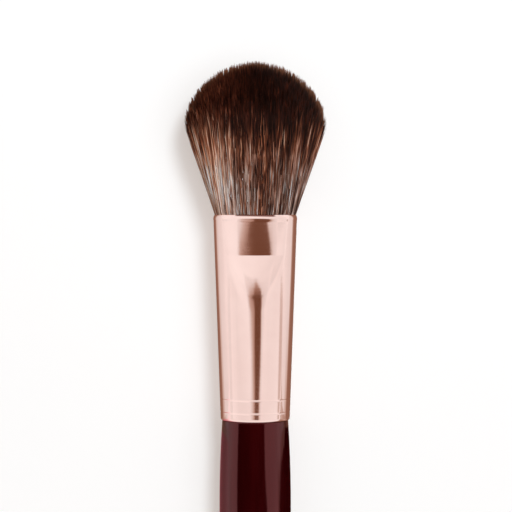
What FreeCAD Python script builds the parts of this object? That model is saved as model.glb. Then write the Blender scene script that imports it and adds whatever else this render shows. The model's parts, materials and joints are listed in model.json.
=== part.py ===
import FreeCAD, Part
import math
import os
import random

import Sketcher
from FreeCAD import Placement, Rotation, Vector

# A blush brush, lying on a table: a turned and lacquered handle, a drawn metal ferrule whose mouth is
# pressed flatter than it is wide, and a domed bundle of hair set in resin.
# Every piece is drawn along the brush's own line: Y is the station, from the tail of the handle towards
# the hair, X is the width and Z the depth. One placement then lays the whole brush down.

SIZES = [
    # Handle
    ("handle_length", 108.4, "tail of the handle to the shoulder that the ferrule sits on"),
    ("tail_radius", 3.3, "round end of the handle"),
    ("grip_radius", 7.15, "handle at its widest"),
    ("grip_land", 10.0, "length of the widest stretch, which is straight"),
    ("grip_front", 17.0, "from the widest stretch to the shoulder"),
    ("rear_bend", 29.5, "length of the long curve behind the widest stretch"),
    ("shoulder_radius", 6.6, "handle where it meets the ferrule"),
    ("tenon_radius", 6.35, "peg inside the ferrule"),
    ("tenon_space", 5.1, "free space between that peg and the resin plug"),
    ("tenon_bevel", 0.8, "bevel at its end"),
    # Ferrule
    ("ferrule_length", 41.1, "lower edge to rim"),
    ("ferrule_low_radius", 6.9, "outside, if the cone ran down to the lower edge"),
    ("ferrule_mouth_radius", 8.38, "outside half width at the rim"),
    ("ferrule_wall", 0.5, "sheet thickness"),
    ("lip_round", 0.42, "rolled lower edge"),
    ("rim_round", 0.3, "rounded outer edge of the rim"),
    ("crimp_height", 1.7, "lower edge to the first crimp ring"),
    ("crimp_pitch", 2.6, "from one crimp ring to the next"),
    ("crimp_round", 0.6, "radius of a crimp ring's hollow"),
    ("crimp_depth", 0.05, "depth of that hollow"),
    ("crease_drop", 8.1, "rim to the crease of the pressed mouth"),
    ("facet_length", 11.0, "crease to where the tube is round again"),
    ("press_half_depth", 6.8, "half depth of the pressed mouth"),
    ("press_round_crease", 30.0, "cross radius of the pressed face at the crease"),
    ("press_round_rim", 20.0, "cross radius of the pressed face at the rim"),
    ("press_blend", 0.9, "how softly the pressed face runs into the round sides"),
    # Hair
    ("hair_reach", 30.5, "rim to the highest tip"),
    ("hair_set", 11.0, "length of hair inside the ferrule"),
    ("hair_width", 28.4, "across the widest place"),
    ("hair_depth", 17.6, "front to back at the thickest place"),
    ("dome_spare", 0.15, "radius of the dome, seen from the front, over half the hair's width"),
    ("front_drop", 9.5, "highest tip to the dome's edge at front and back"),
    ("root_swell", 0.33, "how far the hair swells where it leaves the ferrule"),
    ("swell_height", 0.7, "rim to where it has swollen"),
    ("lock_groove", 0.4, "groove between two locks of hair"),
    ("tip_gap", 0.8, "hollow between the tips of the dome"),
    # Resin and glue
    ("epoxy_depth", 5.0, "resin plug under the roots of the hair"),
    ("glue_start", 6.0, "shoulder to the start of the glue"),
    ("root_gap", 0.1, "hair to ferrule, inside the ferrule"),
]
SECTION_POINTS = 40  # points round one section of the ferrule
LOCKS = 66  # locks of hair round the bundle

doc = FreeCAD.newDocument("blush_brush")
sheet = doc.addObject("Spreadsheet::Sheet", "Sizes")
for row, (alias, value, note) in enumerate(SIZES, start=1):
    sheet.set(f"A{row}", note)
    sheet.set(f"B{row}", str(value))
    sheet.setAlias(f"B{row}", alias)
doc.recompute()


def size(alias):
    return float(sheet.get(alias))


# Stations that several pieces share

shoulder = size("handle_length")
rim = shoulder + size("ferrule_length")
crease = rim - size("crease_drop")
round_again = crease - size("facet_length")
root_end = rim - size("hair_set")
tenon_end = root_end - size("epoxy_depth") - size("tenon_space")
highest_tip = rim + size("hair_reach")


# Handle: one turned piece of wood with the peg that goes into the ferrule

handle = doc.addObject("PartDesign::Body", "handle")
profile = handle.newObject("Sketcher::SketchObject", "handle_profile")
plane = next(item for item in handle.Origin.OriginFeatures if item.Role == "XY_Plane")
profile.AttachmentSupport = [(plane, "")]
profile.MapMode = "FlatFace"

land_front = shoulder - size("grip_front")
land_rear = land_front - size("grip_land")
widest = size("grip_radius")
tail = size("tail_radius")
front_sweep = (size("grip_front") ** 2 + (widest - size("shoulder_radius")) ** 2) / (
    2 * (widest - size("shoulder_radius"))
)
front_angle = math.asin(size("grip_front") / front_sweep)
# A first guess at the rear curve, which the sketch then makes run smoothly into the tail
taper = math.atan2(widest - tail, land_rear - tail)
rear_sweep = size("rear_bend") / math.sin(taper)
up = Vector(0, 0, 1)
tail_touch = Vector(tail * math.cos(taper), tail - tail * math.sin(taper), 0)
bend_end = Vector(widest - rear_sweep * (1 - math.cos(taper)), land_rear - size("rear_bend"), 0)
corners = [
    Vector(widest, land_rear, 0),
    Vector(widest, land_front, 0),
    Vector(size("shoulder_radius"), shoulder, 0),
    Vector(size("tenon_radius"), shoulder, 0),
    Vector(size("tenon_radius"), tenon_end - size("tenon_bevel"), 0),
    Vector(size("tenon_radius") - size("tenon_bevel"), tenon_end, 0),
    Vector(0, tenon_end, 0),
]
TAIL, TAPER, SWEEP, LAND, FRONT, FACE, PEG, BEVEL, END, LINE = range(10)
profile.addGeometry(
    [
        Part.ArcOfCircle(Part.Circle(Vector(0, tail, 0), up, tail), -math.pi / 2, -taper),
        Part.LineSegment(tail_touch, bend_end),
        Part.ArcOfCircle(Part.Circle(Vector(widest - rear_sweep, land_rear, 0), up, rear_sweep), -taper, 0),
        Part.LineSegment(corners[0], corners[1]),
        Part.ArcOfCircle(Part.Circle(Vector(widest - front_sweep, land_front, 0), up, front_sweep), 0, front_angle),
        Part.LineSegment(corners[2], corners[3]),
        Part.LineSegment(corners[3], corners[4]),
        Part.LineSegment(corners[4], corners[5]),
        Part.LineSegment(corners[5], corners[6]),
        Part.LineSegment(corners[6], Vector(0, 0, 0)),
    ],
    False,
)
START, FINISH, CENTRE = 1, 2, 3  # a line's or an arc's own points
AXES, ORIGIN, STATION_AXIS = -1, 1, -2  # the sketch's own origin and its Y axis
rules = [
    Sketcher.Constraint("Coincident", TAIL, START, AXES, ORIGIN),
    Sketcher.Constraint("PointOnObject", TAIL, CENTRE, STATION_AXIS),
    Sketcher.Constraint("Tangent", TAIL, FINISH, TAPER, START),
    Sketcher.Constraint("Tangent", TAPER, FINISH, SWEEP, START),
    Sketcher.Constraint("Tangent", SWEEP, FINISH, LAND, START),
    Sketcher.Constraint("Tangent", LAND, FINISH, FRONT, START),
    Sketcher.Constraint("Coincident", FRONT, FINISH, FACE, START),
    Sketcher.Constraint("Coincident", FACE, FINISH, PEG, START),
    Sketcher.Constraint("Coincident", PEG, FINISH, BEVEL, START),
    Sketcher.Constraint("Coincident", BEVEL, FINISH, END, START),
    Sketcher.Constraint("Coincident", END, FINISH, LINE, START),
    Sketcher.Constraint("Coincident", LINE, FINISH, AXES, ORIGIN),
    Sketcher.Constraint("Vertical", LAND),
    Sketcher.Constraint("Vertical", PEG),
    Sketcher.Constraint("Vertical", LINE),
    Sketcher.Constraint("Horizontal", FACE),
    Sketcher.Constraint("Horizontal", END),
]
for rule in rules:
    profile.addConstraint(rule)
TENON_LENGTH = "Sizes.ferrule_length - Sizes.hair_set - Sizes.epoxy_depth - Sizes.tenon_space"
sizes_of_profile = [
    ("tail", "Radius", (TAIL,), tail, "Sizes.tail_radius"),
    ("bend", "DistanceY", (SWEEP, START, SWEEP, FINISH), size("rear_bend"), "Sizes.rear_bend"),
    ("widest", "DistanceX", (AXES, ORIGIN, LAND, START), widest, "Sizes.grip_radius"),
    ("land", "DistanceY", (LAND, START, LAND, FINISH), size("grip_land"), "Sizes.grip_land"),
    ("front", "DistanceY", (LAND, FINISH, FRONT, FINISH), size("grip_front"), "Sizes.grip_front"),
    ("neck", "DistanceX", (AXES, ORIGIN, FRONT, FINISH), size("shoulder_radius"), "Sizes.shoulder_radius"),
    ("length", "DistanceY", (AXES, ORIGIN, FRONT, FINISH), shoulder, "Sizes.handle_length"),
    ("peg", "DistanceX", (AXES, ORIGIN, PEG, START), size("tenon_radius"), "Sizes.tenon_radius"),
    ("peg_length", "DistanceY", (PEG, START, BEVEL, FINISH), tenon_end - shoulder, TENON_LENGTH),
    ("bevel_in", "DistanceX", (BEVEL, FINISH, BEVEL, START), size("tenon_bevel"), "Sizes.tenon_bevel"),
    ("bevel_up", "DistanceY", (BEVEL, START, BEVEL, FINISH), size("tenon_bevel"), "Sizes.tenon_bevel"),
]
for name, kind, places, value, formula in sizes_of_profile:
    index = profile.addConstraint(Sketcher.Constraint(kind, *places, value))
    profile.renameConstraint(index, name)
    profile.setExpression(f"Constraints.{name}", formula)
doc.recompute()
turned = handle.newObject("PartDesign::Revolution", "turned_handle")
turned.Profile = profile
turned.ReferenceAxis = (profile, ["V_Axis"])
turned.Angle = 360
handle.Tip = turned
doc.recompute()


# Ferrule: a drawn cone, its mouth pressed flatter from front and back

cone_slope = (size("ferrule_mouth_radius") - size("ferrule_low_radius")) / size("ferrule_length")


def cone_radius(station):
    """Outer radius of the cone at a station."""
    return size("ferrule_low_radius") + cone_slope * (station - shoulder)


def soft_min(a, b, blend):
    """The lesser of two lengths, rounded off where they are within blend of each other."""
    near = max(blend - abs(a - b), 0.0) / blend
    return min(a, b) - near * near * blend / 4.0


def press_face(station):
    """Half depth and cross radius of the pressed face at a station."""
    if station >= crease:
        share = (station - crease) / size("crease_drop")
        cross = size("press_round_crease") + share * (size("press_round_rim") - size("press_round_crease"))
        return size("press_half_depth"), cross
    share = (station - round_again) / size("facet_length")
    clear = cone_radius(round_again) + size("press_blend")
    return clear + (size("press_half_depth") - clear) * share, size("press_round_crease")


def tube_radius(station, angle, inset):
    """Distance from the brush's line to the outside of the ferrule, less inset, towards an angle."""
    cone = cone_radius(station)
    if station <= round_again:
        return cone - inset
    half_depth, cross = press_face(station)
    behind = half_depth - cross
    rise = abs(math.sin(angle))
    pressed = behind * rise + math.sqrt(cross**2 - behind**2 * (1.0 - rise**2))
    return soft_min(cone, pressed, size("press_blend")) - inset


def around(station, radius, angle):
    return Vector(radius * math.cos(angle), station, radius * math.sin(angle))


def section(station, inset):
    """Closed smooth line round the tube at a station."""
    angles = [2 * math.pi * step / SECTION_POINTS for step in range(SECTION_POINTS)]
    points = [around(station, tube_radius(station, angle, inset), angle) for angle in angles]
    curve = Part.BSplineCurve()
    curve.interpolate(Points=points, PeriodicFlag=True)
    return Part.Wire([curve.toShape()])


def tube(bottom, top, inset):
    """Solid inside the tube's skin, from bottom to top, sharp only at the crease."""
    facet = [round_again + size("facet_length") * share for share in (0.0, 0.2, 0.4, 0.6, 0.8, 1.0)]
    rows = [[section(bottom, inset), section(round_again, inset)]]
    rows.append([rows[0][-1]] + [section(station, inset) for station in facet[1:]])
    rows.append([rows[1][-1], section((crease + top) / 2, inset), section(top, inset)])
    faces = []
    for wires in rows:
        faces += Part.makeLoft(wires, False, len(wires) == 2).Faces
    faces += [Part.Face(rows[0][0]), Part.Face(rows[-1][-1])]
    shell = Part.Shell(faces)
    shell.sewShape()
    solid = Part.Solid(shell)
    solid.fix(1e-5, 1e-6, 1e-4)
    if solid.Volume < 0:
        solid.reverse()
    return solid


outside = doc.addObject("Part::Feature", "tube_outside")
outside.Shape = tube(shoulder, rim, 0.0)
inside = doc.addObject("Part::Feature", "tube_inside")
beyond = size("ferrule_wall")
inside.Shape = tube(shoulder - beyond, rim + beyond, size("ferrule_wall"))
sleeve = doc.addObject("Part::Cut", "sleeve")
sleeve.Base = outside
sleeve.Tool = inside
rings = []
for number in range(2):
    height = f"(Sizes.crimp_height + {number} * Sizes.crimp_pitch)"
    slope = "(Sizes.ferrule_mouth_radius - Sizes.ferrule_low_radius) / Sizes.ferrule_length"
    ring = doc.addObject("Part::Torus", f"crimp_ring_{number + 1}")
    ring.Placement = Placement(Vector(0, 0, 0), Rotation(Vector(1, 0, 0), 90))
    ring.setExpression("Placement.Base.y", f"Sizes.handle_length + {height}")
    ring.setExpression(
        "Radius1",
        f"Sizes.ferrule_low_radius + {slope} * {height} + Sizes.crimp_round - Sizes.crimp_depth",
    )
    ring.setExpression("Radius2", "Sizes.crimp_round")
    rings.append(ring)
both_rings = doc.addObject("Part::MultiFuse", "crimp_rings")
both_rings.Shapes = rings
crimped = doc.addObject("Part::Cut", "crimped_sleeve")
crimped.Base = sleeve
crimped.Tool = both_rings
doc.recompute()


def edge_at(shape, station):
    """Number of the outermost closed edge that lies at one station."""
    found = [
        (edge.Length, number)
        for number, edge in enumerate(shape.Edges, start=1)
        if all(abs(point.y - station) < 1e-4 for point in edge.discretize(9))
    ]
    return max(found)[1]


ferrule = doc.addObject("Part::Fillet", "ferrule")
ferrule.Base = crimped
ferrule.Edges = [
    (edge_at(crimped.Shape, shoulder), size("lip_round"), size("lip_round")),
    (edge_at(crimped.Shape, rim), size("rim_round"), size("rim_round")),
]
doc.recompute()


# Glue between the handle's peg and the widening ferrule, and the resin that holds the roots of the hair


def slab(name, start, length, radius):
    """Round slab across the brush's line; start and length are formulas in the sheet's sizes."""
    blank = doc.addObject("Part::Cylinder", name)
    blank.Placement = Placement(Vector(0, 0, 0), Rotation(Vector(1, 0, 0), -90))
    blank.setExpression("Placement.Base.y", start)
    blank.setExpression("Height", length)
    blank.setExpression("Radius", radius)
    return blank


glue_blank = slab(
    "glue_blank",
    "Sizes.handle_length + Sizes.glue_start",
    f"{TENON_LENGTH} - Sizes.tenon_bevel - Sizes.glue_start",
    "2 * Sizes.ferrule_mouth_radius",
)
peg_space = slab("peg_space", "Sizes.handle_length", TENON_LENGTH, "Sizes.tenon_radius")
glue_plug = doc.addObject("Part::MultiCommon", "glue_plug")
glue_plug.Shapes = [glue_blank, inside]
handle_glue = doc.addObject("Part::Cut", "handle_glue")
handle_glue.Base = glue_plug
handle_glue.Tool = peg_space

epoxy_blank = slab(
    "epoxy_blank",
    "Sizes.handle_length + Sizes.ferrule_length - Sizes.hair_set - Sizes.epoxy_depth",
    "Sizes.epoxy_depth",
    "2 * Sizes.ferrule_mouth_radius",
)
root_epoxy = doc.addObject("Part::MultiCommon", "root_epoxy")
root_epoxy.Shapes = [epoxy_blank, inside]
doc.recompute()


# Hair: locks that fan out of the ferrule and end in a dome of pointed tips

columns = 2 * LOCKS
half_width = size("hair_width") / 2
half_depth = size("hair_depth") / 2
dome_radius = half_width + size("dome_spare")
side_drop = dome_radius - math.sqrt(dome_radius**2 - half_width**2)
bow = half_width / dome_radius
chance = random.Random(11)
lock_depths = [chance.uniform(0.55, 1.0) for _ in range(LOCKS)]
lock_lifts = [chance.uniform(0.0, 0.8) for _ in range(LOCKS)]


def edge_drop(angle):
    """Highest tip down to the edge of the dome, towards an angle."""
    return side_drop * math.cos(angle) ** 2 + size("front_drop") * math.sin(angle) ** 2


def edge_radius(angle):
    """Oval outline of the hair at the edge of the dome."""
    return half_width * half_depth / math.hypot(half_depth * math.cos(angle), half_width * math.sin(angle))


def root_ring(station):
    inset = size("ferrule_wall") + size("root_gap")
    angles = [2 * math.pi * column / columns for column in range(columns)]
    return [around(station, tube_radius(station, angle, inset), angle) for angle in angles]


def side_ring(share):
    """Ring of hair between the ferrule (share 0) and the edge of the dome (share 1)."""
    ring = []
    for column in range(columns):
        angle = 2 * math.pi * column / columns
        start = rim + size("swell_height")
        inset = size("ferrule_wall") + size("root_gap") - size("root_swell")
        root = tube_radius(rim, angle, inset)
        lock = column // 2
        fullness = 1.0 - 0.28 * math.sin(angle) ** 2
        radius = root + (edge_radius(angle) - root) * share**fullness
        station = start + (highest_tip - edge_drop(angle) - start) * share
        groove = size("lock_groove") * lock_depths[lock] * min(1.0, 0.25 + share)
        if column % 2:
            radius -= groove
            station -= share**6 * size("tip_gap")
        else:
            station -= share**6 * size("tip_gap") * lock_lifts[lock]
        ring.append(around(station, radius, angle))
    return ring


def dome_ring(number, rings):
    """Ring of tips on the dome, every second one sunk; the rings thin out towards the highest tip."""
    reach = 1.0 - (number + 1) / (rings + 0.5)
    count = columns if reach > 0.62 else columns // 2 if reach > 0.3 else columns // 4
    ring = []
    for column in range(count):
        angle = 2 * math.pi * (column + 0.5 * (number % 2)) / count
        spread = reach + chance.uniform(-0.25, 0.25) / (rings + 0.5)
        drop = edge_drop(angle) * (1 - math.sqrt(1 - (bow * spread) ** 2)) / (1 - math.sqrt(1 - bow**2))
        sunk = chance.uniform(0.6, 1.0) if (column + number // 2) % 2 else chance.uniform(0.0, 0.35)
        drop += size("tip_gap") * sunk
        ring.append(around(highest_tip - drop, edge_radius(angle) * spread, angle))
    return ring


def turn(point):
    return math.atan2(point.z, point.x) % (2 * math.pi)


DOME_RINGS = 13
rings_up = [root_ring(root_end + (crease - root_end) * share) for share in (0.0, 0.33, 0.66, 1.0)]
rings_up += [root_ring((crease + rim) / 2), root_ring(rim)]
rings_up += [side_ring(share) for share in (0.0, 0.14, 0.3, 0.46, 0.62, 0.78, 0.9, 1.0)]
rings_up += [dome_ring(number, DOME_RINGS) for number in range(DOME_RINGS)]

points = [Vector(0, root_end, 0)]
starts = []
for ring in rings_up:
    starts.append(len(points))
    points += ring
points.append(Vector(0, highest_tip, 0))
facets = []
first = len(rings_up[0])
facets += [(0, starts[0] + (column + 1) % first, starts[0] + column) for column in range(first)]
for lower, upper, low_at, up_at in zip(rings_up, rings_up[1:], starts, starts[1:]):
    low_step = up_step = 0
    low_count, up_count = len(lower), len(upper)
    while low_step < low_count or up_step < up_count:
        low_next = (low_step + 1) / low_count
        up_next = (up_step + 1) / up_count
        low_now = low_at + low_step % low_count
        up_now = up_at + up_step % up_count
        if up_step >= up_count or (low_step < low_count and low_next <= up_next):
            low_step += 1
            facets.append((low_now, low_at + low_step % low_count, up_now))
        else:
            up_step += 1
            facets.append((low_now, up_at + up_step % up_count, up_now))
last = len(rings_up[-1])
facets += [(starts[-1] + column, starts[-1] + (column + 1) % last, len(points) - 1) for column in range(last)]

skin = Part.Shape()
skin.makeShapeFromMesh((points, facets), 1e-4)
bundle = Part.Solid(Part.Shell(skin.Faces))
if bundle.Volume < 0:
    bundle.reverse()
hair_bundle = doc.addObject("Part::Feature", "hair_bundle")
hair_bundle.Shape = bundle
doc.recompute()
print("facets of hair", len(facets), "volume", bundle.Volume, "valid", bundle.isValid())


# The brush laid down: it touches the table with the handle behind its widest place and with the hair

handle_feet = [(land_front, widest), (land_rear, widest)]
rear_curve = profile.Geometry[SWEEP]
rear_length = rear_curve.LastParameter - rear_curve.FirstParameter
for step in range(61):
    foot = rear_curve.value(rear_curve.FirstParameter + rear_length * step / 60)
    handle_feet.append((foot.y, foot.x))
hair_feet = [(point.y, -point.z) for point in points if point.y > rim and point.z < -0.8 * half_depth]
middle = (shoulder + rim) / 2


def height_between(feet):
    (near, low), (far, high) = feet
    return low + (high - low) * (middle - near) / (far - near)


feet = max(((near, far) for near in handle_feet for far in hair_feet), key=height_between)
(near, low), (far, high) = feet
tilt = math.atan2(high - low, far - near)
# Distance from the brush's line at the tail to the table, square to the table
lift = (low - near * math.tan(tilt)) * math.cos(tilt)
tail_reach = tail * math.cos(tilt) - tail
hair_end = max(point.y * math.cos(tilt) - point.z * math.sin(tilt) for point in points)
lay = Placement(
    Vector(0, -(tail_reach + hair_end) / 2, lift),
    Rotation(Vector(1, 0, 0), math.degrees(tilt)),
)
print("tilt", math.degrees(tilt), "lift", lift, "feet", feet)

pieces = [handle, ferrule, handle_glue, root_epoxy, hair_bundle]
for piece in pieces:
    piece.Label = piece.Name
    piece.Placement = lay
doc.recompute()

for item in doc.Objects:
    if "Invalid" in item.State or "Error" in item.State:
        raise RuntimeError(f"{item.Name} did not compute: {item.State}")
os.makedirs("parts", exist_ok=True)
for piece in pieces:
    shape = piece.Shape
    if shape.isNull() or not shape.isValid():
        raise RuntimeError(f"{piece.Name} is not a valid shape")
    shape.exportStep(f"parts/{piece.Label}.step")
    print(piece.Name, shape.ShapeType, len(shape.Solids), round(shape.Volume, 1), shape.BoundBox)
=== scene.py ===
import json
import math

import bmesh
import bpy
import numpy as np
from mathutils import Matrix, Vector


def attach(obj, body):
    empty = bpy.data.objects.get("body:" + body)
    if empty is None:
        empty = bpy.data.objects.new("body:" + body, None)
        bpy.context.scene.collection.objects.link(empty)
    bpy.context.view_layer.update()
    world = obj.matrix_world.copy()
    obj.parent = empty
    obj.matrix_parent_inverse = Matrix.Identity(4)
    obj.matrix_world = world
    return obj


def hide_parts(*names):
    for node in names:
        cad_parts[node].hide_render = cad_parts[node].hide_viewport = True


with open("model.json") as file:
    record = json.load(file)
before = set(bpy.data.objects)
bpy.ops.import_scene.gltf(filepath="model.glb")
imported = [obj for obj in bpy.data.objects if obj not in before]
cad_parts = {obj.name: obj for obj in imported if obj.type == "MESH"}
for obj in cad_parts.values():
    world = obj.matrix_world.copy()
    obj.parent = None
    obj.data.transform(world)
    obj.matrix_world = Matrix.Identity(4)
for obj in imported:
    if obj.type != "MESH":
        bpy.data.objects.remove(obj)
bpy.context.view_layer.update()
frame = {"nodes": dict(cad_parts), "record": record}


# Handle. One length of hardwood, turned on a lathe, dipped in dark burgundy lacquer and left to dry to a
# high gloss. Its peg is glued into the ferrule and its shoulder carries the ferrule's lower edge.

SHOULDER = 0.1084
LAND_FRONT = SHOULDER - 0.017
LAND_REAR = LAND_FRONT - 0.010
GRIP_RADIUS = 0.00715
NECK_RADIUS = 0.0066
TAIL_RADIUS = 0.0033
PEG_RADIUS = 0.00635
PEG_END = SHOULDER + 0.020
PEG_BEVEL = 0.0008
REAR_BEND = 0.0295
EDGE_BREAK = 0.0002
GRIP_STATION = 0.0864
TAIL_STEPS = 12
BEND_STEPS = 24

# Every piece is made straight, with its station along Y from the tail of the handle and its width along
# X, and is then laid down as the brush lies, its handle a little lower than its hair.
grip = next(mount for mount in frame["record"]["mounts"] if mount["name"] == "grip")
towards_tail = Vector(grip["axis"]).normalized()
slope = math.atan2(-towards_tail.z, -towards_tail.y)
tail_point = Vector(grip["pos_m"]) + towards_tail * GRIP_STATION
lay_down = Matrix.Translation(tail_point) @ Matrix.Rotation(slope, 4, "X")


class Value:
    """A socket of a material, so that shader maths reads as plain expressions."""

    def __init__(self, tree, socket):
        self.tree = tree
        self.socket = socket

    def maths(self, operation, *others, clamp=False):
        node = self.tree.nodes.new("ShaderNodeMath")
        node.operation = operation
        node.use_clamp = clamp
        for socket, value in zip(node.inputs, others):
            put(self.tree, socket, value)
        return Value(self.tree, node.outputs[0])

    def __add__(self, other):
        return self.maths("ADD", self, other)

    def __radd__(self, other):
        return self.maths("ADD", other, self)

    def __sub__(self, other):
        return self.maths("SUBTRACT", self, other)

    def __rsub__(self, other):
        return self.maths("SUBTRACT", other, self)

    def __mul__(self, other):
        return self.maths("MULTIPLY", self, other)

    def __rmul__(self, other):
        return self.maths("MULTIPLY", other, self)

    def __abs__(self):
        return self.maths("ABSOLUTE", self)

    def between(self, low, high):
        """0 at low, 1 at high, smooth in between and held outside."""
        share = self.maths("MULTIPLY_ADD", self, 1 / (high - low), -low / (high - low), clamp=True)
        return share * share * (3 - 2 * share)


def put(tree, socket, value):
    """Links a value to a socket, or sets the socket to a plain number or colour."""
    if isinstance(value, Value):
        tree.links.new(value.socket, socket)
    else:
        socket.default_value = value


class Finish:
    """One material with a Principled surface, whose other nodes are added by name."""

    def __init__(self, name, **plain):
        self.material = bpy.data.materials.new(name)
        self.material.use_nodes = True
        self.tree = self.material.node_tree
        self.surface = self.tree.nodes["Principled BSDF"]
        for socket, value in plain.items():
            self.surface.inputs[socket.replace("_", " ")].default_value = value

    def node(self, kind, out=0, settings=(), stops=(), **sockets):
        """Any other node. A socket goes by its name, or as n0, n1 and so on by its number."""
        node = self.tree.nodes.new("ShaderNode" + kind)
        for name, value in dict(settings).items():
            setattr(node, name, value)
        for number, (place, colour) in enumerate(stops):
            band = node.color_ramp.elements
            stop = band[number] if number < 2 else band.new(place)
            stop.position = place
            stop.color = colour
        for name, value in sockets.items():
            key = int(name[1:]) if name[1:].isdigit() and name[0] == "n" else name.replace("_", " ")
            put(self.tree, node.inputs[key], value)
        return Value(self.tree, node.outputs[out])

    def mix(self, share, first, second):
        """First colour where share is 0, second where it is 1."""
        return self.node("Mix", out=2, settings={"data_type": "RGBA"}, n0=share, n6=first, n7=second)

    def parts(self, vector):
        """The three numbers of a vector."""
        split = self.node("SeparateXYZ", n0=vector).socket.node
        return [Value(self.tree, socket) for socket in split.outputs]

    def feed(self, **sockets):
        """Gives the surface what changes over it."""
        for name, value in sockets.items():
            put(self.tree, self.surface.inputs[name.replace("_", " ")], value)


def srgb(red, green, blue):
    """Linear colour of a colour given in screen numbers from 0 to 255."""
    parts = [value / 255 for value in (red, green, blue)]
    return (*[part / 12.92 if part <= 0.04045 else ((part + 0.055) / 1.055) ** 2.4 for part in parts], 1.0)


def piece(name, mesh, finish, node):
    """Adds a finished mesh to the scene in place of a solid of the part."""
    made = bpy.data.objects.new(name, mesh)
    bpy.context.scene.collection.objects.link(made)
    mesh.materials.clear()
    mesh.materials.append(finish.material)
    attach(made, "root")
    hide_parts(node)
    return made


def spun(profile, steps, weld=1e-6):
    """A bmesh turned round the brush's line from (radius, station) pairs, poles and seam closed."""
    turned = bmesh.new()
    line = [turned.verts.new((radius, station, 0)) for radius, station in profile]
    edges = [turned.edges.new(pair) for pair in zip(line, line[1:])]
    bmesh.ops.spin(
        turned,
        geom=line + edges,
        cent=(0, 0, 0),
        axis=(0, 1, 0),
        angle=2 * math.pi,
        steps=steps,
        use_merge=True,
    )
    bmesh.ops.remove_doubles(turned, verts=turned.verts[:], dist=weld)
    bmesh.ops.recalc_face_normals(turned, faces=turned.faces[:])
    return turned


def laid(shape, name):
    """Lays a bmesh down with the brush and makes it a smooth mesh."""
    bmesh.ops.transform(shape, matrix=lay_down, verts=shape.verts[:])
    mesh = bpy.data.meshes.new(name)
    for face in shape.faces:
        face.smooth = True
    shape.to_mesh(mesh)
    shape.free()
    return mesh


# The long bend behind the grip runs smoothly into a straight taper, which touches the round tail.
taper = 0.05
for _ in range(40):
    bend_radius = GRIP_RADIUS - REAR_BEND * math.tan(taper / 2)
    taper = math.atan2(bend_radius - TAIL_RADIUS / math.cos(taper), LAND_REAR - REAR_BEND - TAIL_RADIUS)
rear_sweep = REAR_BEND / math.sin(taper)
front_drop = GRIP_RADIUS - NECK_RADIUS
front_sweep = ((SHOULDER - LAND_FRONT) ** 2 + front_drop**2) / (2 * front_drop)
handle_line = [(0, 0)]
for step in range(1, TAIL_STEPS + 1):
    turn = -math.pi / 2 + (math.pi / 2 - taper) * step / TAIL_STEPS
    handle_line.append((TAIL_RADIUS * math.cos(turn), TAIL_RADIUS + TAIL_RADIUS * math.sin(turn)))
for step in range(BEND_STEPS + 1):
    turn = -taper * (1 - step / BEND_STEPS)
    radius = GRIP_RADIUS - rear_sweep * (1 - math.cos(turn))
    handle_line.append((radius, LAND_REAR + rear_sweep * math.sin(turn)))
front_stations = np.linspace(LAND_FRONT, SHOULDER - EDGE_BREAK, 21)
near_shoulder = [SHOULDER - breaks * EDGE_BREAK for breaks in (1.6, 1.2)]
for station in (*front_stations[:-1], *near_shoulder, front_stations[-1]):
    drop = front_sweep - math.sqrt(front_sweep**2 - (station - LAND_FRONT) ** 2)
    handle_line.append((GRIP_RADIUS - drop, station))
handle_line += [
    (NECK_RADIUS - 0.3 * EDGE_BREAK, SHOULDER - 0.3 * EDGE_BREAK),
    (NECK_RADIUS - EDGE_BREAK, SHOULDER),
    (PEG_RADIUS, SHOULDER),
    (PEG_RADIUS, PEG_END - PEG_BEVEL),
    (PEG_RADIUS - PEG_BEVEL, PEG_END),
    (0, PEG_END),
]

lacquer = Finish("burgundy_lacquer", Specular_IOR_Level=1.0, Specular_Tint=(1.0, 0.34, 0.35, 1.0))
place = lacquer.node("TexCoord", "Object")
pull = lacquer.node("Mapping", n0=place, Scale=(90, 9, 90))
figure = lacquer.node("TexNoise", n0=pull, Scale=3.0, Detail=3.0)
peel = lacquer.node("TexNoise", n0=place, Scale=700.0, Detail=1.0)
lacquer.feed(
    Base_Color=lacquer.mix(figure.between(0.3, 0.7), srgb(38, 1, 2), srgb(52, 3, 5)),
    Roughness=0.09 + 0.04 * figure,
    Normal=lacquer.node("Bump", Height=peel, Strength=0.03, Distance=0.0002),
)
turned_handle = laid(spun(handle_line, 128), "handle_lacquered")
handle = piece("handle_lacquered", turned_handle, lacquer, "handle")


# Ferrule. A cone drawn from thin aluminium tube, its mouth pressed flatter on two sides with a straight
# crease, its edges rolled and two rings crimped into it over the peg, then polished and anodised rose gold.

RIM = SHOULDER + 0.0411
CREASE = RIM - 0.0081
ROUND_AGAIN = CREASE - 0.011
LOW_RADIUS = 0.0069
MOUTH_RADIUS = 0.00838
WALL = 0.0005
LIP_ROUND = 0.00042
RIM_ROUND = 0.00042
RIM_LENGTH = 0.00095
ROUND_STEPS = 9
HALF_PRESSED = 0.0068
CROSS_AT_CREASE = 0.030
CROSS_AT_RIM = 0.020
BLEND = 0.0009
CRIMPS = (SHOULDER + 0.0017, SHOULDER + 0.0043)
CRIMP_HALF_WIDTH = 0.00019
CRIMP_DEPTH = 0.000035
CRIMP_STEPS = 5
ABOVE_LIP = (0.00048, 0.0006, 0.001)
ABOVE_CRIMPS = 0.0006
BELOW_RIM = 0.0002
AT_CREASE = (-0.00018, -0.0001, -0.00005, 0.0, 0.00005, 0.0001, 0.00018)
NEAR_CREASE = 0.0003


def cone_radius(station):
    return LOW_RADIUS + (MOUTH_RADIUS - LOW_RADIUS) * (station - SHOULDER) / (RIM - SHOULDER)


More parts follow.
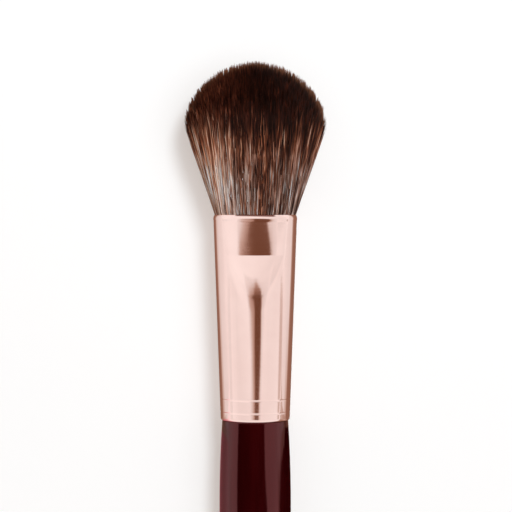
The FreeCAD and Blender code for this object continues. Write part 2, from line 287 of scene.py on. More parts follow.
def pressed_radius(station, rise):
    """Distance to the outside of the ferrule; rise is how steeply one looks up from the brush's line."""
    cone = cone_radius(station)
    if station <= ROUND_AGAIN:
        return cone
    if station >= CREASE:
        half, cross = HALF_PRESSED, CROSS_AT_CREASE
        cross += (CROSS_AT_RIM - CROSS_AT_CREASE) * (station - CREASE) / (RIM - CREASE)
    else:
        clear = cone_radius(ROUND_AGAIN) + BLEND
        half = clear + (HALF_PRESSED - clear) * (station - ROUND_AGAIN) / (CREASE - ROUND_AGAIN)
        cross = CROSS_AT_CREASE
    behind = half - cross
    face = behind * rise + math.sqrt(cross**2 - behind**2 * (1 - rise**2))
    near = max(BLEND - abs(cone - face), 0) / BLEND
    return min(cone, face) - near**2 * BLEND / 4


def quarter_round(radius, station, depth, length):
    """Points of a rolled edge from the wall over to the rim; a length below 0 rolls towards the handle."""
    points = []
    for step in range(ROUND_STEPS + 1):
        turn = math.pi / 2 * step / ROUND_STEPS
        points.append((radius - depth * (1 - math.cos(turn)), station - length * (1 - math.sin(turn))))
    return points


ferrule_line = quarter_round(LOW_RADIUS, SHOULDER, LIP_ROUND, -LIP_ROUND)[::-1]
ferrule_line += [(cone_radius(SHOULDER + above), SHOULDER + above) for above in ABOVE_LIP]
for crimp in CRIMPS:
    for step in range(-CRIMP_STEPS - 2, CRIMP_STEPS + 3):
        station = crimp + CRIMP_HALF_WIDTH * step / CRIMP_STEPS
        hollow = (1 + math.cos(math.pi * min(abs(step) / CRIMP_STEPS, 1))) / 2
        ferrule_line.append((cone_radius(station) - CRIMP_DEPTH * hollow, station))
stations = np.concatenate(
    [
        np.linspace(CRIMPS[1] + ABOVE_CRIMPS, ROUND_AGAIN, 14),
        np.linspace(ROUND_AGAIN, CREASE - NEAR_CREASE, 30)[1:],
        CREASE + np.array(AT_CREASE),
        np.linspace(CREASE + NEAR_CREASE, RIM - RIM_LENGTH - BELOW_RIM, 16),
    ]
)
ferrule_line += [(cone_radius(station), station) for station in stations]
ferrule_line += quarter_round(cone_radius(RIM), RIM, RIM_ROUND, RIM_LENGTH)
ferrule_line.append((cone_radius(RIM) - WALL, RIM))
ferrule_line += [(cone_radius(station) - WALL, station) for station in stations[::-2]]
ferrule_line += [(LOW_RADIUS - WALL, SHOULDER), ferrule_line[0]]

# The press moves each point of the cone in or out, and each keeps its station for the finish to read.
tube = spun(ferrule_line, 192)
station_mark = tube.verts.layers.float.new("station")
for vertex in tube.verts:
    vertex[station_mark] = vertex.co.y
    station = min(vertex.co.y, RIM)
    radius = math.hypot(vertex.co.x, vertex.co.z)
    change = pressed_radius(station, abs(vertex.co.z) / radius) - cone_radius(station)
    vertex.co.x *= 1 + change / radius
    vertex.co.z *= 1 + change / radius

metal = Finish("rose_gold_anodised", Metallic=1.0)
place = metal.node("TexCoord", "Object")
round_it = metal.node("Mapping", n0=place, Scale=(20, 2600, 20))
spin_marks = metal.node("TexNoise", n0=round_it, Scale=1.0, Detail=2.0)
clouds = metal.node("TexNoise", n0=place, Scale=260.0, Detail=2.0)
station = metal.node("Attribute", "Fac", {"attribute_name": "station"})
across = metal.parts(place)[0]
# Painted reflection: a thin dark brown line on the rim's roll, over the middle of the mouth, stands in for
# the dark hairs mirrored there.
rim_edge = (station + 0.02 * across).between(RIM - 0.00050, RIM - 0.00028)
painted_hair_reflection = rim_edge * (1 - abs(across).between(0.0035, 0.0042))
polish = metal.mix(clouds.between(0.3, 0.7), srgb(253, 222, 214), srgb(255, 225, 217))
metal.feed(
    Base_Color=metal.mix(0.92 * painted_hair_reflection, polish, srgb(104, 46, 29)),
    Roughness=0.06 + 0.04 * spin_marks,
    Normal=metal.node("Bump", Height=spin_marks, Strength=0.02, Distance=0.0001),
)
piece("ferrule_polished", laid(tube, "ferrule_polished"), metal, "ferrule")


# Hair. Several thousand tapered synthetic hairs, gathered in a mould to a dome, set in resin and pulled
# into the ferrule. They fan out of its pressed mouth, cling together in small tufts and are dyed dark
# brown at the tips.

HIGHEST_TIP = RIM + 0.0305
DOME_RADIUS = 0.01435
HALF_WIDTH = 0.0142
HALF_DEPTH = 0.0088
SIDE_DROP = DOME_RADIUS - math.sqrt(DOME_RADIUS**2 - HALF_WIDTH**2)
FRONT_DROP = 0.0095
BOW = HALF_WIDTH / DOME_RADIUS
SWELL = 0.0005
FRONT_FULLNESS = 0.28
ROOT_GAP = 0.00012
ROOT_STATION = RIM - 0.0012
FAN_STATION = RIM + 0.0006
LOOSE = 1.012
TIP_RISE = 0.00062
TUFT_POINT = 0.00052
TUFT_SHORTER = 0.0003
HAIR_SHORTER = 0.0002
LEAN_FROM = 0.8
TUFTS = 1200
GOLDEN_TURN = 2.399963

# The tufts stand in a golden spiral, which fills the bundle evenly, and each is a little out of its place.
draw = np.random.default_rng(7)
tuft_number = np.arange(TUFTS)
tuft_reach = np.sqrt((tuft_number + 0.5) / TUFTS)
tuft_angle = tuft_number * GOLDEN_TURN
tuft_at = np.stack([tuft_reach * np.cos(tuft_angle), tuft_reach * np.sin(tuft_angle)], 1)
tuft_at += draw.normal(0, 0.010, (TUFTS, 2))
tuft_short = draw.uniform(0, TUFT_SHORTER, TUFTS)
# One draw for each tuft is passed over, so that the hairs below keep theirs.
draw.uniform(0, 1, TUFTS)


def mouth_radius(angle):
    """Inside of the ferrule's rim towards each angle."""
    return np.array([pressed_radius(RIM, abs(math.sin(turn))) for turn in angle]) - WALL - ROOT_GAP


def oval_radius(angle):
    return HALF_WIDTH * HALF_DEPTH / np.hypot(HALF_DEPTH * np.cos(angle), HALF_WIDTH * np.sin(angle))


def dome_station(angle, reach):
    """Station of the dome's surface over a place in the bundle."""
    drop = SIDE_DROP * np.cos(angle) ** 2 + FRONT_DROP * np.sin(angle) ** 2
    return HIGHEST_TIP - drop * (1 - np.sqrt(1 - (BOW * reach) ** 2)) / (1 - math.sqrt(1 - BOW**2))


def hairs(count, low, high, cuts, offset, waviness):
    """Paths of hairs. A hair's place in the bundle is an angle and a reach from the brush's line."""
    number = np.arange(count)
    angle = (number * GOLDEN_TURN + offset) % (2 * math.pi)
    reach = np.sqrt(low**2 + (high**2 - low**2) * (number + 0.5) / count)
    reach = np.clip(draw.permutation(reach) + draw.normal(0, 0.006, count), 0, 1)
    own = np.stack([reach * np.cos(angle), reach * np.sin(angle)], 1)
    nearest = np.empty(count, int)
    for some in np.array_split(number, count // 1000):
        nearest[some] = ((own[some, None] - tuft_at[None]) ** 2).sum(2).argmin(1)
    # Near their tips the hairs lean towards the middle of their tuft, whose outer hairs end lower.
    pull = draw.uniform(0.45, 0.9, count)[:, None]
    tip = own + (tuft_at[nearest] - own) * pull
    tip_angle = np.arctan2(tip[:, 1], tip[:, 0])
    tip_reach = np.minimum(np.hypot(tip[:, 0], tip[:, 1]), 1.0)
    off_centre = np.hypot(*(own - tuft_at[nearest]).T) * math.sqrt(TUFTS)
    short = draw.uniform(0, HAIR_SHORTER, count) + TUFT_POINT * off_centre + tuft_short[nearest]
    top = dome_station(angle, reach) + TIP_RISE - short
    root = mouth_radius(angle) * reach
    wide = LOOSE * oval_radius(angle) * reach
    wide_tip = LOOSE * oval_radius(tip_angle) * tip_reach
    fullness = 1 - FRONT_FULLNESS * np.sin(angle) ** 2
    bow_size = draw.normal(0, waviness, (count, 2, 2))
    bow_phase = draw.uniform(0, 2 * math.pi, (count, 2, 2))
    rows = []
    for cut in cuts:
        if cut < 0:
            station = np.full(count, ROOT_STATION)
            out = root
        else:
            station = FAN_STATION + (top - FAN_STATION) * cut
            out = root + SWELL * reach + (wide - root - SWELL * reach) * cut**fullness
        x, z = out * np.cos(angle), out * np.sin(angle)
        lean = (max(cut - LEAN_FROM, 0) / (1 - LEAN_FROM)) ** 1.5
        x = x + (wide_tip * np.cos(tip_angle) - wide * np.cos(angle)) * lean
        z = z + (wide_tip * np.sin(tip_angle) - wide * np.sin(angle)) * lean
        if 0 < cut < 1:
            # Each hair bows a little to and fro along its length, so that neighbours cross.
            sway = math.sin(math.pi * cut) ** 0.5
            wave = bow_size[:, 0] * np.sin(4.5 * cut + bow_phase[:, 0])
            wave += 0.5 * bow_size[:, 1] * np.sin(11 * cut + bow_phase[:, 1])
            inward = 1 - 0.00005 / np.maximum(out, 0.001)
            x = x * inward - wave[:, 0] * sway * np.sin(angle) ** 2
            z = z * inward + wave[:, 1] * sway * 0.25
        rows.append(np.stack([x, station, z, np.ones(count)], 1))
    return np.stack(rows, 1), angle


SIDES = 3
SPARE_BESIDE = 0.08
SPARE_AT_ENDS = 0.04


def hair_mesh(name, paths, thick, taper_at):
    """Three-sided tapered hairs along paths, made by a curve's bevel."""
    section = bpy.data.curves.new(name + "_section", "CURVE")
    ring = section.splines.new("POLY")
    ring.points.add(SIDES - 1)
    for number, point in enumerate(ring.points):
        turn = 2 * math.pi * number / SIDES
        point.co = (math.cos(turn), math.sin(turn), 0, 1)
    ring.use_cyclic_u = True
    round_of = bpy.data.objects.new(name + "_section", section)
    curve = bpy.data.curves.new(name, "CURVE")
    curve.dimensions = "3D"
    curve.bevel_mode = "OBJECT"
    curve.bevel_object = round_of
    for path, width in zip(paths, thick):
        hair = curve.splines.new("POLY")
        hair.points.add(len(path) - 1)
        hair.points.foreach_set("co", path.ravel())
        hair.points.foreach_set("radius", width * taper_at)
    holder = bpy.data.objects.new(name, curve)
    bpy.context.scene.collection.objects.link(holder)
    bpy.context.view_layer.update()
    bevelled = holder.evaluated_get(bpy.context.evaluated_depsgraph_get())
    mesh = bpy.data.meshes.new_from_object(bevelled)
    bpy.data.objects.remove(holder)
    bpy.data.objects.remove(round_of)
    mesh.transform(lay_down)
    return mesh


def hair_piece(name, count, low, high, cuts, widths, offset, waviness, thick):
    """One piece of the bundle: its hairs, what their colour reads, and their places on the bake's map."""
    paths, angle = hairs(count, low, high, cuts, offset, waviness)
    mesh = hair_mesh(name, paths, draw.uniform(*thick, count), np.array(widths))
    along = len(cuts)
    each = np.stack([draw.uniform(0, 1, count), draw.normal(0, 1, count), draw.uniform(0, 90, count)], 1)
    tint = mesh.attributes.new("hair_tint", "FLOAT_VECTOR", "POINT")
    tint.data.foreach_set("vector", np.repeat(each, along * SIDES, 0).astype(np.float32).ravel())
    level = np.broadcast_to(np.maximum(np.array(cuts), 0.0), (count, along))
    line = np.stack([np.repeat(angle[:, None], along, 1), paths[:, :, 1], level], 2)
    lie = mesh.attributes.new("hair_line", "FLOAT_VECTOR", "POINT")
    lie.data.foreach_set("vector", np.repeat(line, SIDES, 1).astype(np.float32).ravel())
    across = math.ceil(math.sqrt(count * 2))
    down = math.ceil(count / across)
    number = np.repeat(np.arange(count), (along - 1) * SIDES * 4)
    layer = mesh.uv_layers[0]
    layer.name = "OFBake"
    spot = np.empty(len(mesh.loops) * 2, np.float32)
    layer.uv.foreach_get("vector", spot)
    spot = spot.reshape(-1, 2)
    u = (number % across + SPARE_BESIDE + (1 - 2 * SPARE_BESIDE) * spot[:, 1]) / across
    v = (number // across + SPARE_AT_ENDS + (1 - 2 * SPARE_AT_ENDS) * spot[:, 0]) / down
    layer.uv.foreach_set("vector", np.stack([u, v], 1).astype(np.float32).ravel())
    mesh.polygons.foreach_set("use_smooth", np.ones(len(mesh.polygons), bool))
    piece(name, mesh, fibre, "hair_bundle")


# A hair's tint holds its shade, how dark it took the dye and where its own streaks begin. Its line holds
# its angle, the station, and the share of its length.
fibre = Finish("dyed_hair", Roughness=0.5, Specular_IOR_Level=0.15)
shade, dye, phase = fibre.parts(fibre.node("Attribute", "Vector", {"attribute_name": "hair_tint"}))
line = fibre.node("Attribute", "Vector", {"attribute_name": "hair_line"})
angle, station, level = fibre.parts(line)
width, _, height = fibre.parts(fibre.node("TexCoord", "Object"))
own_place = fibre.node("CombineXYZ", X=phase, Y=station * 250)
own = fibre.node("TexNoise", n0=own_place, Scale=1.0, Detail=1.0)
lock_place = fibre.node("Mapping", n0=line, Scale=(27, 130, 0))
lock = fibre.node("TexNoise", n0=lock_place, Scale=1.0, Detail=2.0)
side = angle.maths("COSINE", angle)
low_down = 1 - station.between(0.154, 0.167)
# Painted light: the hairs are painted lighter towards the left side, against the lamps' shading from the
# right, most over the lower undyed part, where the hairs from just left of the middle to the right get a
# little painted light too.
towards_left = 1 - side.between(-0.95, 0.45)
painted_light_side = towards_left * towards_left
beside_middle = side.between(-0.5, -0.25) - side.between(-0.1, 0.05)
# The streaks along each hair are partly its own tone and partly painted glints of light along the
# filaments.
streaks_and_glints = (own - 0.5) * 1.25 + (lock - 0.5) * (0.9 + 0.5 * painted_light_side * low_down)
painted_light_left = painted_light_side * (0.33 + 0.22 * low_down)
painted_light_right = 0.07 * low_down * (side.between(-0.1, 0.4) + beside_middle)
tone = shade * 0.5 + streaks_and_glints + painted_light_left + painted_light_right


def dye_range(*colours):
    """Colours from the darkest places of the hairs to the lightest."""
    stops = zip((0.0, 0.18, 0.36, 0.52, 0.68, 0.84, 1.0), [srgb(*colour) for colour in colours])
    return fibre.node("ValToRGB", Fac=tone, stops=stops)


brown = dye_range(
    (34, 12, 5),
    (74, 33, 17),
    (120, 64, 39),
    (166, 100, 70),
    (204, 144, 112),
    (226, 184, 158),
    (242, 220, 206),
)
grey = dye_range(
    (36, 18, 13),
    (76, 48, 37),
    (116, 88, 76),
    (152, 134, 126),
    (182, 176, 175),
    (206, 210, 214),
    (232, 236, 241),
)
dark = dye_range(
    (16, 4, 1),
    (30, 10, 4),
    (46, 17, 9),
    (68, 28, 16),
    (90, 42, 26),
    (116, 60, 40),
    (146, 84, 58),
)
in_middle = side.between(-0.3, 0.05) * (1 - side.between(0.25, 0.6))
to_the_sides = 0.2 * side.between(0.1, 0.6) - 0.5 * (1 - side.between(-1.0, -0.6))
greyness = (0.62 - 0.22 * in_middle + to_the_sides + 0.40 * dye) * (1 - station.between(0.152, 0.168))
on_left = (1 - width.between(-0.006, 0.001)) * width.between(-0.015, -0.008)
dye_line = 0.1639 + 11 * width * width + 0.0006 * on_left
dyed = (station - dye_line + dye * 0.0018).between(-0.0032, 0.0032)
# Painted light: along the outline the last part of each hair is painted lighter, for light showing through
# the thin tips.
at_outline = 1 - abs(height - HALF_DEPTH).between(0.0012, 0.004)
painted_tip_light = level.between(0.92, 1.0) * 0.8 * at_outline
ends = fibre.mix(painted_tip_light, dark, srgb(158, 104, 76))
fibre.feed(Base_Color=fibre.mix(dyed, fibre.mix(greyness, brown, grey), ends))

# The pieces: how many hairs, the reach where they stand, their cuts and widths, a turn, their wave, their
# thickness.
LONG_CUTS = (-1, 0, 0.15, 0.3, 0.45, 0.6, 0.75, 0.9, 1.0)
LONG_WIDTHS = (0.0, 1, 1, 1, 1, 1, 0.9, 0.65, 0.0)
TIP_CUTS = (0.72, 0.88, 0.95, 1.0)
TIP_WIDTHS = (0.0, 1.0, 0.75, 0.0)
hair_piece("hair_cover", 4000, 0.90, 1.0, LONG_CUTS, LONG_WIDTHS, 0.0, 0.00030, (0.00008, 0.00013))
hair_piece("hair_outer", 4000, 0.80, 0.95, LONG_CUTS, LONG_WIDTHS, 0.9, 0.00022, (0.00008, 0.00013))
hair_piece("hair_inner", 4000, 0.62, 0.90, LONG_CUTS, LONG_WIDTHS, 1.3, 0.00010, (0.00009, 0.00014))
hair_piece("hair_dome", 9000, 0.0, 0.97, TIP_CUTS, TIP_WIDTHS, 0.4, 0.00004, (0.00008, 0.00013))

# Under the outer hairs, and down to the resin, the bundle is filled by a solid core spun here.
ROOT_END = RIM - 0.011
CORE_GAP = 0.00015
CORE_SHARE = 0.84
UNDER_EDGE = 0.002
UNDER_DOME = 0.0024
core = spun(
    [(0, -1)]
    + [(1, share) for share in np.linspace(-1, 1, 15)]
    + [(share, 2 - share) for share in np.linspace(1, 0, 12)[1:]],
    96,
)
for vertex in core.verts:
    turn = math.atan2(vertex.co.z, vertex.co.x)
    rise = abs(math.sin(turn))
    reach = min(math.hypot(vertex.co.x, vertex.co.z), 1.0)
    share = min(vertex.co.y, 1.0)
    if share < 0:
        station = RIM + (RIM - ROOT_END) * share
        out = pressed_radius(station, rise) - WALL - CORE_GAP
    else:
        station = RIM + (dome_station(turn, 1.0) - UNDER_EDGE - RIM) * share
        inside = pressed_radius(RIM, rise) - WALL - CORE_GAP
        full = CORE_SHARE * oval_radius(turn)
        out = inside + (full - inside) * share ** (1 - FRONT_FULLNESS * rise**2)
    if vertex.co.y > 1:
        station = dome_station(turn, reach) - UNDER_DOME
    vertex.co = (out * reach * math.cos(turn), station, out * reach * math.sin(turn))
# The core is dark brown: near the dome like the dyed tips, and below them a painted shade for the hairs
# deep in the bundle, whose own colour is lighter.
painted_dark_core = Finish("packed_hair_painted_shade", Roughness=0.8, Specular_IOR_Level=0.1)
along_hairs = painted_dark_core.node("Mapping", n0=painted_dark_core.node("TexCoord", "Object"), Scale=(2600, 90, 2600))
grain = painted_dark_core.node("TexNoise", n0=along_hairs, Scale=1.0)
painted_dark_core.feed(Base_Color=painted_dark_core.mix(grain, srgb(26, 10, 5), srgb(54, 25, 14)))
piece("hair_packed", laid(core, "hair_packed"), painted_dark_core, "hair_bundle")


# Inside the ferrule. The hair roots stand in a plug of clear amber resin, and dried wood glue fills the
# wedge between the handle's peg and the ferrule. Neither shows on the finished brush.

resin = Finish("amber_resin", Roughness=0.25)
depth = resin.node("TexNoise", n0=resin.node("TexCoord", "Object"), Scale=300.0)
resin.feed(Base_Color=resin.mix(depth, srgb(150, 100, 40), srgb(196, 150, 84)))
glue = Finish("dried_glue", Roughness=0.5)
crust = glue.node("TexNoise", n0=glue.node("TexCoord", "Object"), Scale=400.0)
glue.feed(Base_Color=glue.mix(crust, srgb(214, 204, 176), srgb(232, 224, 200)))
for name, finish in (("root_epoxy", resin), ("handle_glue", glue)):
    frame["nodes"][name].data.materials.clear()
    frame["nodes"][name].data.materials.append(finish.material)


# The table and the room. White paper lies under the brush and a white room stands round it, with a soft
# lamp and a broad one up on the right, and a dark opening in the ceiling for the camera.

paper = Finish("white_paper", Roughness=0.95, Specular_IOR_Level=0.0, Emission_Strength=1.0)
SEEN_BY = ("Is Camera Ray", "Is Glossy Ray", "Is Transmission Ray")
by_camera, by_gloss, by_glass = [paper.node("LightPath", ray) for ray in SEEN_BY]
seen = by_camera + by_gloss + by_glass
across, along, _ = paper.parts(paper.node("TexCoord", "Object"))
# Painted shade: the paper's glow is weaker over the end with the ferrule and hair and towards the right, so
# the paper shows darker there.
painted_floor_shade = 0.6 * along.between(-0.06, 0.03) + 0.4 * across.between(-0.03, 0.06)
glow = paper.mix(painted_floor_shade, (0.49, 0.43, 0.395, 1.0), (0.435, 0.375, 0.34, 1.0))
paper.feed(
    Base_Color=paper.mix(seen, (0.95, 0.95, 0.95, 1.0), (0.55, 0.61, 0.65, 1.0)),
    Emission_Color=paper.mix(seen, (0.0, 0.0, 0.0, 1.0), glow),
)
sheet = bmesh.new()
bmesh.ops.create_grid(sheet, x_segments=1, y_segments=1, size=3)
floor_mesh = bpy.data.meshes.new("floor")
sheet.to_mesh(floor_mesh)
sheet.free()
floor_mesh.materials.append(paper.material)
floor = bpy.data.objects.new("floor", floor_mesh)
bpy.context.scene.collection.objects.link(floor)

# Cards that only reflections show. A card's shade runs from white, 0, over pale grey, 0.4, to the dark
# brown of the brush's own shade, 1, or on the lacquer's side to its burgundy. A card that lights all but
# the handle is black where the lacquer mirrors it.
not_handle = bpy.data.collections.new("all_but_the_handle")
not_handle.objects.link(handle)
not_handle.collection_objects[0].light_linking.link_state = "EXCLUDE"


def board(name, *stops):
    """Shaded board, from (shade, colour) pairs."""
    made = Finish(name, Base_Color=(0, 0, 0, 1), Specular_IOR_Level=0.0, Emission_Strength=1.0)
    shade_there = made.node("Attribute", "Fac", {"attribute_name": "shade"})
    colours = [(place, (*colour, 1.0)) for place, colour in stops]
    made.feed(Emission_Color=made.node("ValToRGB", Fac=shade_there, stops=colours))
    return made


grey_board = board(
    "grey_board",
    (0.0, (1.0, 1.0, 1.0)),
    (0.4, (0.80, 0.77, 0.76)),
    (0.6, (0.53, 0.39, 0.33)),
    (0.8, (0.32, 0.175, 0.125)),
    (1.0, (0.15, 0.06, 0.032)),
)
rose_board = board(
    "rose_board",
    (0.0, (1.0, 1.0, 1.0)),
    (0.4, (0.93, 0.62, 0.66)),
    (0.7, (0.60, 0.28, 0.29)),
    (1.0, (0.40, 0.10, 0.12)),
)


def row(places, y, height, shades):
    """One row of a level card."""
    return [((x, y, height), shade_there) for x, shade_there in zip(places, shades)]


def card(name, rows, black_to_handle=False, finish=grey_board):
    """A card through rows of (corner, shade) pairs."""
    shape = bmesh.new()
    layer = shape.verts.layers.float.new("shade")
    bmesh.ops.create_grid(shape, x_segments=len(rows[0]) - 1, y_segments=len(rows) - 1, size=1)
    for vertex, (corner, shade_there) in zip(shape.verts, [pair for line in rows for pair in line]):
        vertex.co = corner
        vertex[layer] = shade_there
    mesh = bpy.data.meshes.new(name)
    shape.to_mesh(mesh)
    shape.free()
    mesh.materials.append(finish.material)
    made = bpy.data.objects.new(name, mesh)
    bpy.context.scene.collection.objects.link(made)
    made.visible_camera = False
    made.visible_diffuse = False
    made.visible_shadow = False
    if black_to_handle:
        made.light_linking.receiver_collection = not_handle


# The white room, whose ceiling is a little darker towards the back and, beyond the brush, on the right.
CEILING = 0.75
APART = 0.002
CEILING_ACROSS = (-4, -1.1, -0.3, 0.3, 0.9, 4)
ceiling_rows = []
for y, shades in (
    (-1.2, (0.11, 0.11, 0.11, 0.11, 0.11, 0.2)),
    (-0.45, (0.11, 0.11, 0.11, 0.11, 0.11, 0.2)),
    (-0.13, (0.11, 0.22, 0.32, 0.24, 0.22, 0.2)),
    (-0.06, (0.10, 0.12, 0.10, 0.20, 0.20, 0.2)),
    (0.03, (0.10, 0.06, 0.06, 0.12, 0.12, 0.2)),
    (0.06, (0.10, 0.04, 0.05, 0.36, 0.36, 0.3)),
    (0.09, (0.05, 0.03, 0.05, 0.30, 0.30, 0.3)),
    (0.20, (0.0, 0.0, 0.05, 0.20, 0.20, 0.2)),
    (1.2, (0.0, 0.0, 0.05, 0.20, 0.20, 0.2)),
):
    ceiling_rows.append(row(CEILING_ACROSS, y, CEILING + APART, shades))
card("ceiling", ceiling_rows)
for name, x, handle_sees, metal_sees in (("left_wall", -4, 0.3, 0.1), ("right_wall", 4, 0.52, 0.08)):
    wall_rows = ((-1.2, handle_sees), (-0.3016, handle_sees), (-0.3012, metal_sees), (0.9, metal_sees))
    card(name, [[((x, y, z), shade_there) for z in (0.0, CEILING)] for y, shade_there in wall_rows])

# Just under it hangs a card that parts the lacquer's two lights with its black, up to the right-hand edge
# given here, and whose shades the metal mirrors.
over_handle_rows = []
for y, right, shades in (
    (-1.2, 0.95, (0.12, 0.12, 0.12, 0.12, 0.12)),
    (-0.45, 0.95, (0.12, 0.12, 0.12, 0.12, 0.12)),
    (-0.14, 0.60, (0.27, 0.28, 0.30, 0.24, 0.22)),
    (-0.09, 0.51, (0.20, 0.16, 0.12, 0.20, 0.18)),
    (-0.04, 0.43, (0.08, 0.06, 0.05, 0.20, 0.20)),
    (0.04, 0.36, (0.03, 0.03, 0.08, 0.25, 0.32)),
    (0.07, 0.36, (0.07, 0.05, 0.14, 0.30, 0.41)),
    (0.12, 0.80, (0.0, 0.0, 0.03, 0.30, 0.27)),
    (0.17, 0.80, (0.0, 0.0, 0.04, 0.27, 0.24)),
    (0.45, 0.80, (0.0, 0.0, 0.10, 0.18, 0.20)),
):
    over_handle_rows.append(row((-1.3, -0.45, -0.2, 0.25, right), y, CEILING, shades))
card("ceiling_over_handle", over_handle_rows, black_to_handle=True)

# The dark opening for the camera. Across it the shade sinks in steps from the left edge to the middle
# and comes back to the right edge; the last number says how dark it gets there.
ROOM_SHADE = 0.1
OPENING_ACROSS = (0.1, 0.36, 0.554, 0.713, 1.0, 1.0, 0.713, 0.47, 0.33, 0.1)
opening_rows = []
for y, edges, depth in (
    (0.172, (-0.215, -0.20, -0.05, 0.0, 0.03, 0.05, 0.10, 0.35), 0.0),
    (0.165, (-0.215, -0.20, -0.05, 0.0, 0.03, 0.05, 0.10, 0.35), 0.35),
    (0.147, (-0.215, -0.20, -0.05, 0.0, 0.03, 0.05, 0.10, 0.35), 0.42),
    (0.122, (-0.228, -0.10, -0.01, 0.01, 0.04, 0.06, 0.11, 0.35), 0.68),
    (0.100, (-0.236, -0.15, -0.05, 0.01, 0.08, 0.115, 0.14, 0.36), 0.76),
    (0.075, (-0.235, -0.155, -0.04, -0.01, 0.14, 0.155, 0.175, 0.38), 0.85),
    (0.052, (-0.24, -0.155, -0.08, -0.02, 0.162, 0.172, 0.186, 0.39), 0.97),
    (0.044, (-0.20, -0.165, -0.09, -0.065, 0.15, 0.164, 0.172, 0.42), 1.0),
    (0.039, (-0.22, -0.19, -0.10, -0.085, 0.168, 0.183, 0.20, 0.42), 1.0),
    (0.0355, (-0.245, -0.215, -0.12, -0.105, 0.19, 0.21, 0.235, 0.44), 1.0),
    (0.032, (-0.28, -0.245, -0.15, -0.13, 0.22, 0.245, 0.275, 0.46), 1.0),
    (0.030, (-0.28, -0.245, -0.15, -0.13, 0.22, 0.245, 0.275, 0.46), 1.0),
    (0.0285, (-0.20, -0.17, -0.09, -0.07, 0.165, 0.185, 0.21, 0.41), 1.0),
    (0.018, (-0.244, -0.19, -0.068, -0.005, 0.175, 0.196, 0.226, 0.39), 1.0),
    (-0.050, (-0.248, -0.19, -0.03, 0.0, 0.21, 0.235, 0.263, 0.405), 1.0),
    (-0.064, (-0.244, -0.12, -0.032, -0.005, 0.205, 0.225, 0.247, 0.36), 1.0),
    (-0.080, (-0.174, -0.10, -0.04, -0.01, 0.195, 0.226, 0.25, 0.305), 1.0),
    (-0.100, (-0.15, -0.08, -0.02, 0.025, 0.165, 0.19, 0.21, 0.26), 1.0),
    (-0.114, (-0.20, -0.073, -0.026, 0.01, 0.115, 0.145, 0.172, 0.24), 1.0),
    (-0.135, (-0.20, -0.08, -0.04, 0.0, 0.11, 0.13, 0.165, 0.24), 1.0),
):
    places = (edges[0] - 0.03, *edges, edges[-1] + 0.06)
    shades = [ROOM_SHADE + (shade_there - ROOM_SHADE) * depth for shade_there in OPENING_ACROSS]
    opening_rows.append(row(places, y, CEILING - APART, shades))
card("camera_opening", opening_rows, black_to_handle=True)

# On the paper, what the metal and the lacquer reflect low down: the brush's own brown shade, and a dark
# card that ends the handle's right-hand light. The rows lean as the camera looks outwards, so that the
# handle mirrors the first two of them and the metal the rest.
LEAN = 0.08
LOW_CARD = 0.0002
UPPER_CARD = 0.0003
ON_PAPER = (-4, -0.3, -0.085, -0.045, -0.028, -0.019, -0.015, 0.018, 0.021, 0.025, 0.04, 0.07, 0.3, 4)
by_handle = (0.30, 0.10, 0.12, 0.38, 0.52, 0.66, 0.78, 0.85, 0.80, 0.70, 0.65, 0.57, 0.50, 0.52)
by_lip = (0.20, 0.25, 0.34, 0.38, 0.42, 0.60, 0.85, 0.85, 0.85, 0.60, 0.42, 0.38, 0.30, 0.17)
by_ferrule = (0.10, 0.08, 0.14, 0.28, 0.36, 0.48, 0.85, 0.85, 0.70, 0.36, 0.32, 0.24, 0.12, 0.08)
shadow_rows = []
for y, shades in (
    (-0.6, by_handle),
    (0.0184, by_handle),
    (0.0188, by_lip),
    (0.045, by_ferrule),
    (0.085, by_ferrule),
):
    places = [(x, y - LEAN * abs(x), LOW_CARD) for x in ON_PAPER]
    shadow_rows.append(list(zip(places, shades)))
card("shade_on_paper", shadow_rows)
BESIDE_LACQUER = (-0.3, -0.085, -0.045, -0.028, -0.020, -0.0145, 0)
by_lacquer = (0.1, 0.15, 0.40, 0.62, 0.74, 0.9, 1)
lacquer_rows = []
for y in (-0.6, 0.0164):
    places = [(x, y - LEAN * abs(x), UPPER_CARD) for x in BESIDE_LACQUER]
    lacquer_rows.append(list(zip(places, by_lacquer)))
card("shade_of_lacquer", lacquer_rows, finish=rose_board)
end_rows = []
for y, x, shade_there in (
    (-0.09, 0.4, 0.5),
    (-0.02, 0.4, 0.5),
    (0.0033, 0.112, 0.5),
    (0.0084, 0.058, 0.5),
    (0.0124, 0.0295, 0.5),
    (0.015, 0.0245, 0.6),
    (0.0165, 0.02, 0.88),
):
    end_rows.append(row((0.009, x), y, UPPER_CARD, (0.9, shade_there)))
card("end_of_light", end_rows, black_to_handle=True)
standing_rows = []
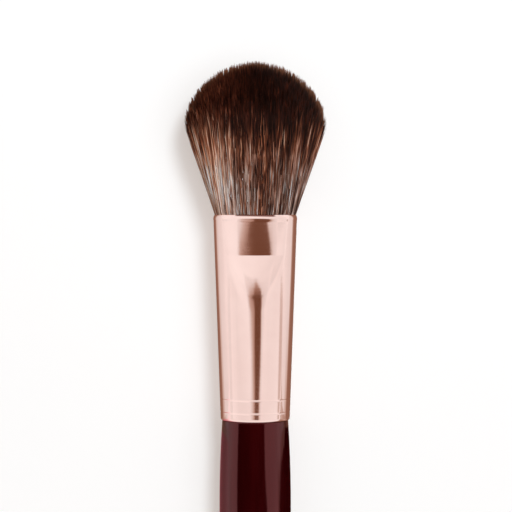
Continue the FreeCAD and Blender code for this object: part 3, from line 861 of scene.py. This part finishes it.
for y, top in ((-0.12, 0.115), (-0.055, 0.048), (-0.02, 0.008)):
    standing_rows.append([((0.4, y, height), ROOM_SHADE) for height in (0.0, top)])
card("end_of_light_standing", standing_rows, black_to_handle=True)

# The lamps light the brush and aren't mirrored in it.
AIM = Vector((0, 0.05, 0.008))
for name, away, width, power in (
    ("key", (0.131, 0.219, 0.487), 0.165, 1.6),
    ("broad", (0.35, 0.05, 0.9), 0.8, 2.4),
):
    lamp = bpy.data.lights.new(name, "AREA")
    lamp.shape = "DISK"
    lamp.size = width
    lamp.energy = power
    stand = bpy.data.objects.new(name, lamp)
    bpy.context.scene.collection.objects.link(stand)
    stand.location = AIM + Vector(away)
    stand.rotation_euler = Vector(away).to_track_quat("Z", "Y").to_euler()
    stand.visible_glossy = False

# The room is white to the eye and dimmer as a light.
world = bpy.data.worlds.new("room")
bpy.context.scene.world = world
world.use_nodes = True
tree = world.node_tree
path = tree.nodes.new("ShaderNodeLightPath")
by_camera, by_gloss, by_glass = [Value(tree, path.outputs[ray]) for ray in SEEN_BY]
room_colour = tree.nodes.new("ShaderNodeMix")
room_colour.data_type = "RGBA"
put(tree, room_colour.inputs[0], by_camera + by_gloss + by_glass)
put(tree, room_colour.inputs[6], (0.38, 0.365, 0.352, 1.0))
put(tree, room_colour.inputs[7], (1.0, 1.0, 1.0, 1.0))
put(tree, tree.nodes["Background"].inputs["Color"], Value(tree, room_colour.outputs[2]))

# The camera looks straight down on the upper half of the brush.
LOOKS_AT = 0.1412
CAMERA_AWAY = 0.414
HALF_VIEW = 0.0512
SENSOR = 36
camera = bpy.data.cameras.new("camera")
camera.sensor_width = SENSOR
camera.lens = SENSOR / 2 / (HALF_VIEW / CAMERA_AWAY)
camera.clip_start = 0.01
camera_stand = bpy.data.objects.new("camera", camera)
bpy.context.scene.collection.objects.link(camera_stand)
middle = lay_down @ Vector((0, LOOKS_AT, 0))
camera_stand.location = (0.00016, middle.y, middle.z + CAMERA_AWAY)
bpy.context.scene.camera = camera_stand
bpy.context.scene.view_settings.view_transform = "Standard"
